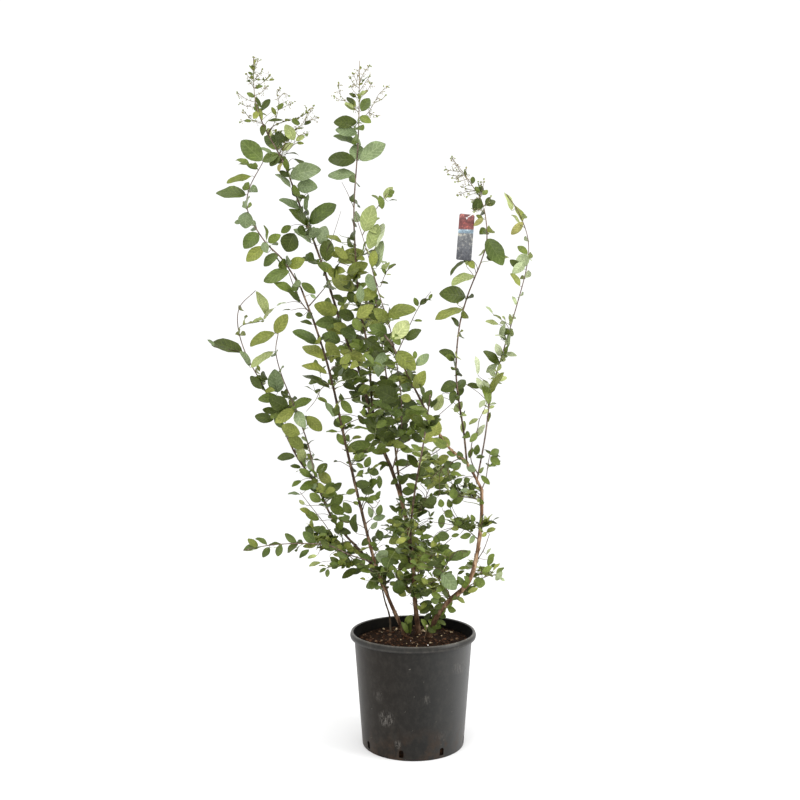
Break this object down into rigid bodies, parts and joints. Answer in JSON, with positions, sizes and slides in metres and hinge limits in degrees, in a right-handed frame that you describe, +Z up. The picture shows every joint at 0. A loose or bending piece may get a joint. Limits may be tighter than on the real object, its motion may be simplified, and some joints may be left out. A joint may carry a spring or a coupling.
{
  "type": "potted crape myrtle",
  "caption": "Upright many-stemmed flowering shrub in a round nursery pot: bare slender stems fork into boughs with loose leaves and airy bud heads",
  "frame": {"origin": "centre of the pot's flat underside", "axes": "+Z up along the pot's axis, the shrub's best side faces -Y, +X to the right seen from that side"},
  "size_m": [0.7517, 0.5663, 1.5619],
  "materials": {
    "charcoal_plastic": "matt moulded plastic, scuffed and dusty",
    "bark_soil": "loose damp bark and peat potting mix",
    "bark": "thin peeling bark, reddish tan over grey-brown",
    "young_bark": "smooth young bark, purple-brown",
    "leaf_green": "matt to slightly waxy leaf, dark green to olive",
    "leaf_light_green": "young leaf, light yellow-green",
    "tag_plastic": "thin printed-colour plastic, plain blocks of colour",
    "tie_plastic": "thin white plastic strap"
  },
  "bodies": {
    "root": {"pot": "charcoal_plastic", "soil": "bark_soil", "label_tag": "tag_plastic", "label_tie": "tie_plastic", "stem_left": "bark", "stem_centre": "bark", "stem_right": "bark", "bough_left_arch": "young_bark", "bough_top_centre": "young_bark", "bough_front": "young_bark", "bough_back": "young_bark", "bough_fore": "young_bark", "bough_crossing": "young_bark", "bough_label": "young_bark", "bough_right_arch": "young_bark", "bough_outer_left": "young_bark", "bough_outer_left_arch": "young_bark", "bough_inner_left": "young_bark", "shoot_left": "young_bark", "leaves_panicle_left": "leaf_green", "leaves_panicle_left_side": "leaf_light_green", "leaves_left_top": "leaf_green", "leaves_left_upper": "leaf_green", "leaves_arch_tip": "leaf_green", "leaves_arch": "leaf_green", "leaves_panicle_centre": "leaf_green", "leaves_top_centre": "leaf_green", "leaves_light": "leaf_light_green", "leaves_centre_upper": "leaf_green", "leaves_centre": "leaf_green", "leaves_left_mid": "leaf_green", "leaves_outer_tip": "leaf_light_green", "leaves_outer_left": "leaf_green", "leaves_outer": "leaf_green", "leaves_inner_left": "leaf_green", "leaves_stem_left": "leaf_green", "leaves_shoot_left": "leaf_green", "leaves_skirt_left": "leaf_green", "leaves_skirt": "leaf_green", "leaves_skirt_right": "leaf_green", "leaves_right_low": "leaf_green", "leaves_right_mid": "leaf_green", "leaves_crossing": "leaf_green", "leaves_label_low": "leaf_green", "leaves_label": "leaf_green", "leaves_panicle_right": "leaf_green", "leaves_right_arch": "leaf_light_green", "leaves_right": "leaf_light_green", "leaves_right_side": "leaf_green", "leaves_back": "leaf_green", "leaves_fore": "leaf_green", "leaves_side_shoot": "leaf_green", "leaves_skirt_back": "leaf_green"}
  },
  "joints": []
}
